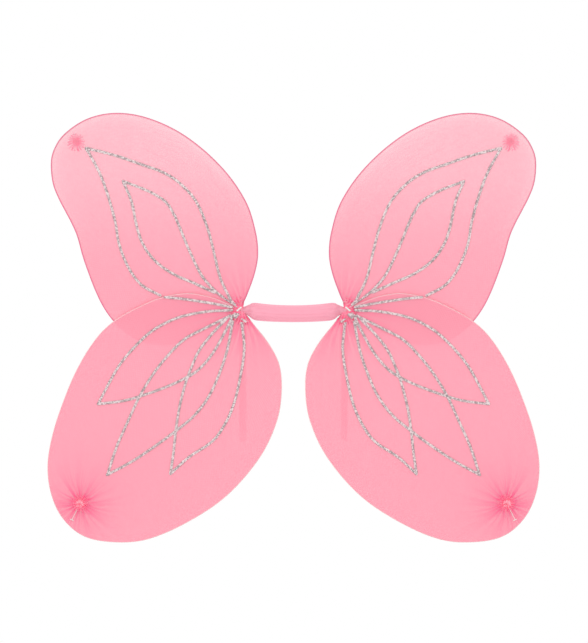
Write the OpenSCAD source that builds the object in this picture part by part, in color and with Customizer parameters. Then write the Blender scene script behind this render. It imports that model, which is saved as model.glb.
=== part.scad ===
// Fairy wings: two pairs of nylon wings on bent wire loops, joined by a padded bar
// with an elastic arm loop at each root. X runs across, +Y points to the wearer's
// back, Z is up. The origin is the middle of the bar's flat back.

/* [Overall] */
// Width across both pairs of wings
span = 640; // [400:10:900]
// Diameter of the covered wire
wire_d = 1.8; // [1:0.1:3]
// Distance between the planes of the upper and lower wings
plane_gap = 3.2; // [3.2:0.1:8]

/* [Padded bar] */
// Height of the padded bar
bar_d = 22; // [14:1:40]
// Length of the padded bar
bar_len = 121; // [80:1:160]
// How far the middle of the bar lies in front of its flat back
bar_depth = 9; // [6:0.5:14]
// Radius of the gathered ends of the bar
bar_neck_r = 3.8; // [3.6:0.1:6]
// Length over which each end narrows
bar_nose = 14.5; // [8:0.5:30]
// Thickness of the fabric around the foam
bar_skin = 0.8; // [0.4:0.1:2]

/* [Nylon covers] */
// Thickness of a stretched cover over its wire, front to back
cover_t = 2.8; // [2.4:0.1:6]
// Thickness of one layer of nylon
nylon_t = 0.3; // [0.2:0.05:0.6]
// Radius of the open mouth around the root
mouth_r = 8; // [6:0.5:14]
// Radius of the gathered tuft at a wing tip
tuft_r = 8; // [4:0.5:14]

/* [Glitter veins] */
// Width of a glitter line
vein_w = 3.6; // [2:0.2:8]
// Height of a glitter line above the nylon
vein_h = 0.9; // [0.4:0.1:2]

/* [Root and arm loops] */
// Distance of each root from the middle
root_x = 66; // [50:1:90]
// Width of the elastic of an arm loop
elastic_w = 8; // [4:1:20]
// Thickness of the elastic
elastic_t = 1.2; // [0.6:0.1:3]
// Height of a hanging arm loop
loop_drop = 172; // [120:1:260]
// Depth of a hanging arm loop, towards the wearer
loop_depth = 62; // [30:1:90]

/* [Hidden] */
$fn = 48;
gap = 0.05;      // between pieces that lie on one another
k = span / 640;  // the wings' outlines are drawn at a span of 640
steps = 4;       // straight pieces in each stretch of a curve
upper_y = -bar_depth + plane_gap / 2;
lower_y = -bar_depth - plane_gap / 2;
wire_inset = 1.4;
stem_z = 1;      // the two ends of a wire lie this far above and below the root's axis
bundle_r = norm([plane_gap / 2, stem_z]) + wire_d / 2 + gap;
bind_r = bundle_r + 0.85;
hitch_r = bind_r + 1.3;
bind_from = root_x - 0.8;
bind_len = 5.8;
knot_r = 2.6;
knot_y = -1;
upper_tip = k * [283, 221];
lower_tip = k * [277, -250];

pink = [1, 0.66, 0.73];
deep_pink = [0.98, 0.5, 0.65];
glitter = [0.84, 0.83, 0.82];
white = [0.96, 0.96, 0.95];
steel = [0.7, 0.71, 0.73];

// Outlines on the right, each from the root and back to it, clockwise.
upper_edge = k * [
    [66, 8], [59, 24], [50, 50], [46, 74], [49, 103], [62, 143], [93, 187], [139, 227],
    [185, 250], [228, 258], [267, 251], [299, 230], [313, 208], [316, 187], [311, 158],
    [284, 103], [273, 66], [253, 15], [234, -14], [209, -35], [186, -43], [154, -42],
    [115, -27], [83, -6], [71, 0]];
lower_edge = k * [
    [69, 3], [84, 9], [101, 16], [120, 21], [140, 23], [170, 18], [200, 6], [235, -14],
    [258, -37], [282, -76], [301, -121], [314, -162], [320, -200], [316, -236], [301, -269],
    [273, -293], [232, -301], [189, -297], [136, -274], [86, -240], [43, -190], [21, -143],
    [15, -104], [18, -70], [32, -42], [54, -14], [67, 4]];

// Glitter strokes on the right, each leaf drawn from the root to its tip and back.
upper_outer_leaf = k * [
    [[81, 13], [95, 42], [103, 74], [112, 108], [127, 143], [150, 168], [171, 181],
     [196, 190], [234, 203], [270, 212]],
    [[270, 212], [253, 181], [242, 152], [232, 116], [227, 87], [215, 57], [198, 34],
     [173, 20]]];
upper_inner_leaf = k * [
    [[92, 18], [103, 27], [120, 47], [137, 82], [162, 137], [185, 154], [222, 169]],
    [[222, 169], [211, 143], [204, 110], [196, 87], [181, 66], [158, 49], [129, 36], [103, 24]]];
over_rim_stroke = k * [[167, 18], [139, 15], [101, 9], [80, 5]];
lower_leaves = k * [
    [[80, 1], [114, -1], [151, -9], [181, -24], [202, -42], [226, -70], [243, -100],
     [254, -121]],
    [[254, -121], [222, -117], [200, -111], [166, -99], [140, -87], [123, -76], [105, -55],
     [90, -29], [80, -9]],
    [[82, -6], [114, -22], [142, -37], [166, -61], [183, -83], [200, -111], [215, -143],
     [230, -177], [242, -213]],
    [[242, -213], [209, -195], [179, -175], [153, -156], [129, -136], [110, -111], [97, -83],
     [86, -50], [79, -14]],
    [[86, -9], [107, -31], [123, -52], [133, -74], [140, -93], [148, -124], [153, -156],
     [156, -184], [160, -212]],
    [[160, -212], [136, -190], [105, -169], [88, -145], [77, -119], [69, -85], [64, -50],
     [67, -16]]];

// ---- curves ----

function unit(v) = v / norm(v);
function heading(p, i) = unit(p[min(i + 1, len(p) - 1)] - p[max(i - 1, 0)]);
function on_left(d) = [-d[1], d[0]];
function reversed(p) = [for (i = [len(p) - 1:-1:0]) p[i]];

// A point at t on the smooth curve from a to b, with the headings da and db there.
function between(a, b, da, db, t) =
    let (s = norm(b - a), t2 = t * t, t3 = t * t * t)
    (2 * t3 - 3 * t2 + 1) * a + (t3 - 2 * t2 + t) * s * da
    + (3 * t2 - 2 * t3) * b + (t3 - t2) * s * db;

function curve(p) = concat(
    [for (i = [0:len(p) - 2], j = [0:steps - 1])
        between(p[i], p[i + 1], heading(p, i), heading(p, i + 1), j / steps)],
    [p[len(p) - 1]]);

// The same path moved sideways, to the left of where it heads.
function beside(p, off) =
    [for (i = [0:len(p) - 1]) p[i] + off * on_left(heading(p, i))];

function middle(p) = [for (i = [1:len(p) - 2]) p[i]];

// ---- shared shapes ----

// A flat shape in X and Z, from y_back towards the front.
module upright(y_back, thick) {
    translate([0, y_back, 0]) rotate([90, 0, 0]) linear_extrude(thick) children();
}

module ribbon(path, w) {
    polygon(concat(beside(path, w / 2), reversed(beside(path, -w / 2))));
}

// Lines drawn along paths, with round ends, that run together where they cross.
module strokes(paths, w) {
    offset(r = w / 2 - 0.1, $fn = 24) for (p = paths) ribbon(curve(p), 0.2);
}

// A round wire along a path in the plane at y.
module wire_along(path, y, sides = 8) {
    rings = [for (i = [0:len(path) - 1], a = [0:sides - 1])
        let (side = cos(360 * a / sides) * on_left(heading(path, i)))
        [path[i][0] + wire_d / 2 * side[0],
         y + wire_d / 2 * sin(360 * a / sides),
         path[i][1] + wire_d / 2 * side[1]]];
    last = (len(path) - 1) * sides;
    polyhedron(rings, concat(
        [[for (a = [0:sides - 1]) a]],
        [for (i = [0:len(path) - 2], a = [0:sides - 1])
            let (b = (a + 1) % sides, r = i * sides)
            [r + a, r + sides + a, r + sides + b, r + b]],
        [[for (a = [sides - 1:-1:0]) last + a]]));
}

module along_x(from, length) {
    translate([from, -bar_depth, 0]) rotate([0, 90, 0]) linear_extrude(length) children();
}

module ring(outer, inner) {
    difference() {
        circle(outer);
        circle(inner);
    }
}

module on_left_side() {
    mirror([1, 0, 0]) children();
}

// ---- padded bar ----

function bar_r(x) =
    let (u = max(0, (abs(x) - bar_len / 2 + bar_nose) / bar_nose))
    bar_neck_r + (bar_d / 2 - bar_neck_r) * (1 - pow(u, 2.6));

// The bar's body, shrunk by inset, up to reach on either side, with its flat back.
module bar_body(inset, reach, inner_r = 0) {
    stations = [for (i = [-12:12]) let (u = i / 12) reach * sign(u) * (1 - pow(1 - abs(u), 2))];
    difference() {
        translate([0, -bar_depth, 0]) rotate([0, 90, 0]) rotate_extrude() polygon(concat(
            [for (x = stations) [bar_r(x) - inset, x]], [[inner_r, reach], [inner_r, -reach]]));
        translate([-bar_len, -inset, -bar_d]) cube([2 * bar_len, bar_d, 2 * bar_d]);
    }
}

module pad_sleeve() {
    color(pink) difference() {
        bar_body(0, bar_len / 2);
        bar_body(bar_skin, bar_len / 2 + 0.001);
    }
}

module foam_pad() {
    color(white) bar_body(bar_skin + 0.4, bar_len / 2 - 6.5, bundle_r + 1.1);
}

module stem_wires() {
    color(steel) for (y = [-1, 1], z = [-1, 1])
        along_x(-bar_len / 2 + 0.2, bar_len - 0.4)
            translate([z * stem_z, y * plane_gap / 2]) circle(wire_d / 2);
}

module tape_wrap() {
    color(white) along_x(-38, 76) ring(bundle_r + 0.4, bundle_r);
}

module crimp() {
    color(steel) along_x(40, 10) ring(bundle_r + 0.8, bundle_r);
}

// ---- wings ----

module wing_wire(edge, y, tail_out, tail_in) {
    path = curve(concat(tail_out, middle(beside(edge, -wire_inset)), tail_in));
    color(white) wire_along(path, y);
}

module upper_wire() {
    wing_wire(upper_edge, upper_y,
        [[root_x - 1, stem_z], [70.4, stem_z], [72.8, 3], [71.6, 7.5]],
        [[77.5, -1.3], [73, -stem_z], [root_x - 1, -stem_z]]);
}

module lower_wire() {
    wing_wire(lower_edge, lower_y,
        [[root_x - 1, stem_z], [70.8, stem_z], [74.5, 3]],
        [[62, -7.2], [66, -7.4], [70.6, -5.8], [72.8, -3.2], [70.8, -stem_z],
         [root_x - 1, -stem_z]]);
}

// A flat nylon bag over the wire, with its mouth open around the root.
module cover(edge, y) {
    outline = curve(edge);
    color([pink[0], pink[1], pink[2], 0.75]) difference() {
        upright(y + cover_t / 2, cover_t) difference() {
            polygon(outline);
            translate([root_x + 1.5, 0]) circle(mouth_r);
        }
        upright(y + cover_t / 2 - nylon_t, cover_t - 2 * nylon_t)
            polygon(beside(outline, -nylon_t));
    }
}

module upper_cover() { cover(upper_edge, upper_y); }
module lower_cover() { cover(lower_edge, lower_y); }

module leaf(paths, y) {
    color(glitter) upright(y - cover_t / 2 - gap, vein_h) strokes(paths, vein_w);
}

module upper_outer_vein() { leaf(upper_outer_leaf, upper_y); }
module upper_inner_vein() { leaf(upper_inner_leaf, upper_y); }

// The outer leaf's last stretch, which was drawn on over the lower wing's rim.
module over_rim_vein() { leaf([over_rim_stroke], lower_y); }

module lower_veins() { leaf(lower_leaves, lower_y); }

// ---- tips ----

// The gathered end of a cover, standing off the nylon at y. side is 1 at the back.
module tuft(at, y, side) {
    color(deep_pink) translate([at[0], y + side * gap, at[1]]) rotate([-side * 90, 0, 0]) {
        cylinder(h = 1.6, r = 2.2);
        translate([0, 0, 1.6]) cylinder(h = 2.2, r1 = 2.2, r2 = tuft_r);
    }
}

module tie(at, y, side) {
    color(deep_pink) translate([at[0], y + side * (gap + 0.7), at[1]]) rotate([90, 0, 0])
        rotate_extrude() translate([2.8, 0]) circle(0.5, $fn = 24);
}

module upper_tuft() { tuft(upper_tip, upper_y + cover_t / 2, 1); }
module lower_tuft() { tuft(lower_tip, lower_y - cover_t / 2, -1); }
module upper_tie() { tie(upper_tip, upper_y + cover_t / 2, 1); }
module lower_tie() { tie(lower_tip, lower_y - cover_t / 2, -1); }

// The clear T-ended tacking barb that pins the lower tuft.
module tip_barb() {
    color(white) translate([lower_tip[0], lower_y - cover_t / 2 - 0.55, lower_tip[1]])
        rotate([0, -27, 0]) {
            translate([0, 0, -24]) cylinder(h = 20, r = 0.4, $fn = 24);
            translate([-2.5, 0, -24]) rotate([0, 90, 0]) cylinder(h = 5, r = 0.5, $fn = 24);
        }
}

// ---- root and arm loops ----

module root_binding() {
    color(deep_pink) along_x(bind_from, bind_len) ring(bind_r, bundle_r + gap);
}

module elastic_hitch() {
    color(white) along_x(root_x, 4) ring(hitch_r, bind_r + gap);
}

module loop_knot() {
    color(white) translate([root_x + 1 - elastic_w / 2, knot_y, 0]) rotate([0, 90, 0])
        cylinder(h = elastic_w, r = knot_r);
}

// The loop hangs from the knot in a plane across X, leaning on the wings' backs.
loop_path = [
    [knot_y + 1.2, -3.2], [1.6, -loop_drop * 0.2], [2.2, -loop_drop * 0.45],
    [4, -loop_drop * 0.7], [loop_depth * 0.24, -loop_drop * 0.92],
    [loop_depth * 0.55, -loop_drop], [loop_depth * 0.87, -loop_drop * 0.92],
    [loop_depth, -loop_drop * 0.73], [loop_depth * 0.88, -loop_drop * 0.5],
    [loop_depth * 0.55, -loop_drop * 0.25], [loop_depth * 0.2, -loop_drop * 0.07],
    [knot_y + 3.1, -1.6]];

module arm_loop() {
    color(white) translate([root_x + 1 - elastic_w / 2, 0, 0])
        rotate([90, 0, 90]) linear_extrude(elastic_w) ribbon(curve(loop_path), elastic_t);
}

pad_sleeve();
foam_pad();
stem_wires();
tape_wrap();
on_left_side() crimp();  // crimp_left
crimp();  // crimp_right
on_left_side() upper_wire();  // upper_wire_left
upper_wire();  // upper_wire_right
on_left_side() lower_wire();  // lower_wire_left
lower_wire();  // lower_wire_right
on_left_side() upper_cover();  // upper_cover_left
upper_cover();  // upper_cover_right
on_left_side() lower_cover();  // lower_cover_left
lower_cover();  // lower_cover_right
on_left_side() upper_outer_vein();  // upper_outer_vein_left
upper_outer_vein();  // upper_outer_vein_right
on_left_side() upper_inner_vein();  // upper_inner_vein_left
upper_inner_vein();  // upper_inner_vein_right
on_left_side() over_rim_vein();  // over_rim_vein_left
over_rim_vein();  // over_rim_vein_right
on_left_side() lower_veins();  // lower_veins_left
lower_veins();  // lower_veins_right
on_left_side() upper_tuft();  // upper_tuft_left
upper_tuft();  // upper_tuft_right
on_left_side() lower_tuft();  // lower_tuft_left
lower_tuft();  // lower_tuft_right
on_left_side() upper_tie();  // upper_tie_left
upper_tie();  // upper_tie_right
on_left_side() lower_tie();  // lower_tie_left
lower_tie();  // lower_tie_right
on_left_side() tip_barb();  // tip_barb_left
tip_barb();  // tip_barb_right
on_left_side() root_binding();  // root_binding_left
root_binding();  // root_binding_right
on_left_side() elastic_hitch();  // elastic_hitch_left
elastic_hitch();  // elastic_hitch_right
on_left_side() loop_knot();  // loop_knot_left
loop_knot();  // loop_knot_right
on_left_side() arm_loop();  // arm_loop_left
arm_loop();  // arm_loop_right
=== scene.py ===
"""Fairy wings: sheer nylon pulled over wire loops, glitter veins, a padded bar and elastic arm loops."""

import math

import bmesh
import bpy
import numpy as np
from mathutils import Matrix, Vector
from mathutils.geometry import delaunay_2d_cdt
from numpy.linalg import norm


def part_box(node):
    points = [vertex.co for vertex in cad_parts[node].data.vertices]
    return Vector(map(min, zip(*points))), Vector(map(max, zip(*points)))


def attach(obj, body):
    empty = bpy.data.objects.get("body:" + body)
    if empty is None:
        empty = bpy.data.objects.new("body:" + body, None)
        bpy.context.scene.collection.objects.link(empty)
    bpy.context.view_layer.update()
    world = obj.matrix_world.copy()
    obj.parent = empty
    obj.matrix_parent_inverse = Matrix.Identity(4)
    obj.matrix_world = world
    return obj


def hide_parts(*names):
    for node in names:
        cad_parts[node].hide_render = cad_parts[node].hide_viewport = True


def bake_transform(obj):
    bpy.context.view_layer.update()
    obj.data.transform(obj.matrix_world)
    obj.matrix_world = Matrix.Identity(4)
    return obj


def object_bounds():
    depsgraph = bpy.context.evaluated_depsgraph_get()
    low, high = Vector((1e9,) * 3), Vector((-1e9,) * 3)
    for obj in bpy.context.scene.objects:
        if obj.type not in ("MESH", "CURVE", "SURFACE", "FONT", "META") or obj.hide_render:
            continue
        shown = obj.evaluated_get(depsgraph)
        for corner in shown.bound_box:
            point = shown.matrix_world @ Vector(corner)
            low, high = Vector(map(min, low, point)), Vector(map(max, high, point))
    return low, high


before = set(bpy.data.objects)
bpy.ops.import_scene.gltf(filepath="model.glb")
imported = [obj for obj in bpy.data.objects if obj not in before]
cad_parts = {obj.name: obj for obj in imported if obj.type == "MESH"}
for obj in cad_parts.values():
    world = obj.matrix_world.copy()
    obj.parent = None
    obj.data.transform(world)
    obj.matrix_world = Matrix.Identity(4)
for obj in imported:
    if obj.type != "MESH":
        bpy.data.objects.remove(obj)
cad_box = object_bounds()

scene = bpy.context.scene
MM = 0.001
SIDES = {"right": 1, "left": -1}


# ---- node trees ----


class Value:
    """One output of a node, on which sums can be written as sums."""

    def __init__(self, graph, socket):
        self.graph, self.socket = graph, socket

    def __add__(self, other):
        return self.graph.math("ADD", self, other)

    def __sub__(self, other):
        return self.graph.math("SUBTRACT", self, other)

    def __rsub__(self, other):
        return self.graph.math("SUBTRACT", other, self)

    def __mul__(self, other):
        return self.graph.math("MULTIPLY", self, other)

    def __truediv__(self, other):
        return self.graph.math("DIVIDE", self, other)

    __radd__, __rmul__ = __add__, __mul__


class Graph:
    """A shader or geometry tree that is being built."""

    def __init__(self, tree):
        self.tree = tree

    def node(self, kind, settings=(), sockets=(), out=0):
        """A node with its settings, and with a value or a link in each socket named."""
        made = self.tree.nodes.new(kind)
        for name, value in dict(settings).items():
            setattr(made, name, value)
        for name, value in dict(sockets).items():
            if isinstance(value, Value):
                self.tree.links.new(value.socket, made.inputs[name])
            else:
                made.inputs[name].default_value = value
        return Value(self, made.outputs[out])

    def math(self, operation, *values):
        return self.node("ShaderNodeMath", {"operation": operation}, dict(enumerate(values)))

    def other(self, value, out):
        """Another output of the node that a value comes from."""
        return Value(self, value.socket.node.outputs[out])

    def rise(self, value, low, high):
        """0 below low, 1 above high, and smooth between them."""
        return self.node("ShaderNodeMapRange", {"interpolation_type": "SMOOTHSTEP"},
                         {"Value": value, "From Min": low, "From Max": high})

    def vector(self, x, y, z):
        return self.node("ShaderNodeCombineXYZ", (), {"X": x, "Y": y, "Z": z})


class Finish(Graph):
    """A material. What is the same all over is given by name; what varies is set with wear()."""

    def __init__(self, name, **constants):
        self.material = bpy.data.materials.new(name)
        self.material.use_nodes = True
        super().__init__(self.material.node_tree)
        self.surface = self.tree.nodes["Principled BSDF"]
        for socket, value in constants.items():
            self.surface.inputs[socket.replace("_", " ")].default_value = value

    def wear(self, **sockets):
        for socket, value in sockets.items():
            self.tree.links.new(value.socket, self.surface.inputs[socket.replace("_", " ")])

    def place(self):
        return self.node("ShaderNodeTexCoord", out="Object")

    def fall(self, distance, scale):
        """1 where the distance is none, and about a third of that at each further scale."""
        return self.math("EXPONENT", distance * (-1 / scale))

    def split(self, vector):
        x = self.node("ShaderNodeSeparateXYZ", (), {"Vector": vector})
        return x, self.other(x, "Y"), self.other(x, "Z")

    def attribute(self, name):
        return self.node("ShaderNodeAttribute", {"attribute_name": name}, out="Fac")

    def noise(self, vector, scale, detail=2.0, roughness=0.5):
        return self.node("ShaderNodeTexNoise", (), {
            "Vector": vector, "Scale": scale, "Detail": detail, "Roughness": roughness})

    def specks(self, vector, scale):
        """A value from 0 to 1 for each grain."""
        colour = self.node("ShaderNodeTexVoronoi", (), {"Vector": vector, "Scale": scale}, out="Color")
        return self.split(colour)[0]

    def mix(self, amount, first, second):
        return self.node("ShaderNodeMix", {"data_type": "RGBA"}, {0: amount, 6: first, 7: second}, out=2)

    def bump(self, height, distance, strength=1.0):
        return self.node("ShaderNodeBump", (), {
            "Height": height, "Distance": distance, "Strength": strength})


def tone(red, green, blue):
    """A display colour from 0 to 255 as the shader's linear colour."""
    def linear(c):
        c /= 255
        return c / 12.92 if c <= 0.04045 else ((c + 0.055) / 1.055) ** 2.4
    return (linear(red), linear(green), linear(blue), 1.0)


# ---- curves and meshes ----


def unit(vectors):
    return vectors / np.maximum(norm(vectors, axis=-1, keepdims=True), 1e-12)


def columns(*values):
    """Points from their coordinates. One that all points share can be a plain number."""
    return np.stack(np.broadcast_arrays(*values), axis=1)


def length_along(line):
    return np.concatenate([[0], np.cumsum(norm(np.diff(line, axis=0), axis=1))])


def heading_round(ring):
    return unit(np.roll(ring, -1, axis=0) - np.roll(ring, 1, axis=0))


def smooth_line(points, spacing):
    """A smooth curve through points, cut into pieces of about the spacing."""
    p = np.asarray(points, float)
    heading = unit(np.vstack([p[1:], p[-1:]]) - np.vstack([p[:1], p[:-1]]))
    made = []
    for a, b, da, db in zip(p[:-1], p[1:], heading[:-1], heading[1:]):
        length = norm(b - a)
        t = np.linspace(0, 1, max(2, math.ceil(length / (spacing / 4))) + 1)[:-1, None]
        made.append((2 * t**3 - 3 * t**2 + 1) * a + (t**3 - 2 * t**2 + t) * length * da
                    + (3 * t**2 - 2 * t**3) * b + (t**3 - t**2) * length * db)
    fine = np.vstack([*made, p[-1:]])
    along = length_along(fine)
    count = max(3, round(along[-1] / spacing) + 1)
    even = np.linspace(0, along[-1], count)
    return columns(*(np.interp(even, along, column) for column in fine.T))


def turned(ring):
    """Across and out directions round a closed line, carried on without twist."""
    heading = heading_round(ring)
    across = np.empty_like(ring)
    guess = np.cross(heading[0], (0.3, 0.2, 1.0))
    for i, h in enumerate(heading):
        guess = unit(guess - h * (guess @ h))
        across[i] = guess
    return across, np.cross(across, heading)


def lattice(rows, count, rows_meet=False, ring=True):
    """Four-cornered faces between rows of count points, each row a ring or a line."""
    faces = []
    for i in range(rows if rows_meet else rows - 1):
        a, b = i * count, (i + 1) % rows * count
        faces += [(a + j, a + (j + 1) % count, b + (j + 1) % count, b + j)
                  for j in range(count if ring else count - 1)]
    return faces


def flipped(faces):
    return [(f[0], *f[:0:-1]) for f in faces]


def sweep(line, across, out, section, closed=False):
    """Vertices and faces of a section of (across, out) pairs carried along a line."""
    section = np.asarray(section, float)
    n, k = len(line), len(section)
    rings = line[:, None] + (section[None, :, :1] * across[:, None]
                             + section[None, :, 1:] * out[:, None])
    faces = lattice(n, k, rows_meet=closed)
    if not closed:
        faces += [tuple(range(k - 1, -1, -1)), tuple(range((n - 1) * k, n * k))]
    return rings.reshape(-1, 3), faces


def full_turn(count):
    return np.linspace(0, 2 * math.pi, count, endpoint=False)


def round_section(radius, sides):
    return [(radius * math.cos(a), radius * math.sin(a)) for a in full_turn(sides)]


def elastic_section(width, thick, ribs=7):
    """A flat elastic's section: rounded edges, and ribs along both faces."""
    top = [(x, 0.5 * thick * (1 - abs(2 * x / width) ** 6 * 0.45) + 0.07 * thick * math.cos(
        2 * math.pi * ribs * x / width)) for x in np.linspace(0.5 * width, -0.5 * width, 4 * ribs + 1)]
    return top + [(-x, -y) for x, y in top]


def new_object(name, mesh):
    obj = bpy.data.objects.new(name, mesh)
    scene.collection.objects.link(obj)
    return obj


def piece(name, points, faces, finish, side=1, attributes=(), flat=False):
    """A mesh object. side -1 mirrors it onto the left."""
    points = np.asarray(points, float) * (side, 1, 1)
    if side < 0:
        faces = [tuple(reversed(f)) for f in faces]
    mesh = bpy.data.meshes.new(name)
    mesh.from_pydata(points.tolist(), [], faces)
    if not flat:
        mesh.shade_smooth()
    for key, values in dict(attributes).items():
        made = mesh.attributes.new(key, "FLOAT", "POINT")
        made.data.foreach_set("value", np.asarray(values, np.float32))
    mesh.materials.append(finish.material)
    return new_object(name, mesh)


def face_outward(obj):
    """Turns a closed mesh's faces outwards."""
    mesh = bmesh.new()
    mesh.from_mesh(obj.data)
    bmesh.ops.recalc_face_normals(mesh, faces=mesh.faces)
    mesh.to_mesh(obj.data)
    mesh.free()
    return obj


def finished(obj):
    """The object with its modifiers applied."""
    seen = obj.evaluated_get(bpy.context.evaluated_depsgraph_get())
    mesh = bpy.data.meshes.new_from_object(seen)
    obj.modifiers.clear()
    if obj.data.shape_keys:
        obj.shape_key_clear()
    obj.data = mesh
    return obj


def settle(made, body, slot, *nodes):
    """Puts a piece on its body and hides the CAD nodes that it stands for. slot is not used."""
    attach(made, body)
    if nodes:
        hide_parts(*nodes)
    return made


def points_of(mesh):
    return np.array([v.co for v in mesh.vertices])


def move_points(obj, at):
    obj.data.vertices.foreach_set("co", at.ravel())
    obj.data.update()


def middle_of(node):
    low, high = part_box(node)
    return np.array((low + high) / 2)


def rim_of(node, axis):
    """The corners of a CAD node's flat end at the low side of an axis, in order round its edge."""
    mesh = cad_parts[node].data
    at = points_of(mesh)
    same_place, end_depth = 0.002 * MM, 0.01 * MM
    _, first, own = np.unique(np.round(at / same_place), axis=0,
                              return_index=True, return_inverse=True)
    own, after = own.ravel(), {}
    end = at[:, axis].min() + end_depth
    for face in mesh.polygons:
        corners = list(face.vertices)
        if at[corners, axis].max() < end:
            ids = own[corners]
            for a, b in zip(ids, np.roll(ids, -1)):
                if after.get(b) is not None and a in after[b]:
                    after[b].remove(a)
                else:
                    after.setdefault(a, []).append(b)
    start = here = next(a for a, b in after.items() if b)
    walked = []
    while True:
        walked.append(at[first[here]])
        here = after[here][0]
        if here == start:
            return np.array(walked)


# ---- the covers' shape ----

root = middle_of("elastic_hitch_right")[[0, 2]] - (1.5 * MM, 0)
WIRE_R = 1.05 * MM          # the wire with its nylon
SLACK = 0.3 * MM            # half the gap between the two layers, away from the wire
# Further out than this, a folded wing would meet the bar.
BOSS_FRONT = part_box("elastic_hitch_right")[0].y + 0.3 * MM
HIDDEN = 1.0                # the Y given where there is no nylon, far behind everything


def distance_to(points, loop):
    """How far each point lies from a closed line."""
    a, b = loop, np.roll(loop, -1, axis=0)
    span = b - a
    best = np.full(len(points), np.inf)
    for start in range(0, len(points), 2000):
        p = points[start:start + 2000, None]
        t = np.clip(((p - a) * span).sum(2) / np.maximum((span**2).sum(1), 1e-18), 0, 1)
        best[start:start + 2000] = norm(p - a - t[..., None] * span, axis=2).min(1)
    return best


def inside(points, loop):
    x, z = points[:, :1], points[:, 1:]
    a, b = loop, np.roll(loop, -1, axis=0)
    crosses = (a[:, 1] > z) != (b[:, 1] > z)
    with np.errstate(divide="ignore", invalid="ignore"):
        at = a[:, 0] + (z - a[:, 1]) / (b[:, 1] - a[:, 1]) * (b[:, 0] - a[:, 0])
    return (crosses & (x < at)).sum(1) % 2 == 1


def close_by(distance, near, width):
    """1 nearer than near, 0 a width further out, and smooth between them."""
    return 0.5 + 0.5 * np.cos(np.pi * np.clip((distance - near) / width, 0, 1))


class Wing:
    """The outline of an upper or lower wing on the right, and the surface of its nylon."""

    def __init__(self, kind):
        self.kind = kind
        low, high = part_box(f"{kind}_cover_right")
        self.y = (low.y + high.y) / 2
        rim = rim_of(f"{kind}_cover_right", 1)[:, [0, 2]]
        away = norm(rim - root, axis=1) > 9 * MM
        start = next(i for i in range(len(rim)) if away[i] and not away[i - 1])
        rim = np.roll(rim, -start, axis=0)[:away.sum()]
        self.edge = smooth_line([root, *rim, root], 2.5 * MM)[:-1]
        self.tip = middle_of(f"{kind}_tuft_right")[[0, 2]]

    def half_thickness(self, inset):
        """Half the distance between the layers, at an inset from the outline."""
        over_wire = np.sqrt(np.maximum(WIRE_R**2 - (WIRE_R - np.minimum(inset, WIRE_R))**2, 0))
        past = np.exp(-np.maximum(inset - WIRE_R, 0) / (5 * MM))
        return np.where(inset < WIRE_R, over_wire, SLACK + (WIRE_R - SLACK) * past)

    def surface(self, points, inset, side):
        """Y of the front (side -1) or back (side 1) layer."""
        half = self.half_thickness(inset)
        near = close_by(norm(points - root, axis=1), 4 * MM, 17 * MM)
        reach = BOSS_FRONT - self.y if side < 0 else 5.0 * MM
        boss = abs(reach) * near * np.sqrt(1 - (1 - np.clip(inset / (4 * MM), 0, 1))**2)
        return self.y + side * np.maximum(half, boss)

    def front(self, points):
        shown = inside(points, self.edge)
        inset = np.where(shown, distance_to(points, self.edge), 0)
        return np.where(shown, self.surface(points, inset, -1), HIDDEN)

    def inset_line(self, depth):
        """The outline drawn in by a depth, from root to root."""
        heading = heading_round(self.edge)
        heading[0] = heading[1]
        inward = columns(-heading[:, 1], heading[:, 0])
        line = self.edge + depth * inward
        return line[distance_to(line, self.edge) > 0.93 * depth]


wings = {kind: Wing(kind) for kind in ("upper", "lower")}


def cover_mesh(wing):
    """Both layers of a cover, joined all round: points, faces and how far in each point lies."""
    rows = [wing.edge] + [wing.inset_line(depth * MM) for depth in (0.3, 0.75, 1.4, 2.4, 4, 6.5, 9.5)]
    low, high = wing.edge.min(0), wing.edge.max(0)
    step = 4.5 * MM
    grid = np.array([(x + (j % 2) * step / 2, z)
                     for j, z in enumerate(np.arange(low[1], high[1], step * 0.87))
                     for x in np.arange(low[0], high[0], step)])
    fan = np.array([root + r * MM * np.array([math.cos(a), math.sin(a)])
                    for r in (3, 5, 7, 9.5, 12.5, 16, 20, 25)
                    for a in full_turn(int(12 + 3 * r))])
    for extra, gap in ((fan, 1.2 * MM), (grid, 12 * MM)):
        extra = extra[inside(extra, wing.edge)]
        extra = extra[distance_to(extra, wing.edge) > gap]
        if extra.size and gap > 5 * MM:
            extra = extra[norm(extra - root, axis=1) > 27 * MM]
        rows.append(extra)
    flat = np.vstack(rows)
    rim = len(wing.edge)
    made = delaunay_2d_cdt([Vector(p) for p in flat], [(i, (i + 1) % rim) for i in range(rim)],
                           [], 1, 0.02 * MM)
    points, faces = np.array([tuple(p) for p in made[0]]), [tuple(f) for f in made[2]]
    inset = distance_to(points, wing.edge)
    on_rim = inset < 0.01 * MM
    inset[on_rim] = 0
    back_of = np.where(on_rim, np.arange(len(points)), 0)
    back_of[~on_rim] = len(points) + np.arange((~on_rim).sum())

    def layer(side, keep):
        return columns(points[:, 0], wing.surface(points, inset, side), points[:, 1])[keep]

    every = np.vstack([layer(-1, slice(None)), layer(1, ~on_rim)])
    faces += [tuple(int(back_of[i]) for i in reversed(f)) for f in faces]
    return every, faces, np.concatenate([inset, inset[~on_rim]])


# ---- finishes ----

PAINTED_GLOW = tone(255, 92, 136)   # painted glow: the pink nylon gives off a little light of its own, standing in for light that comes through its layers from behind


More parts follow.
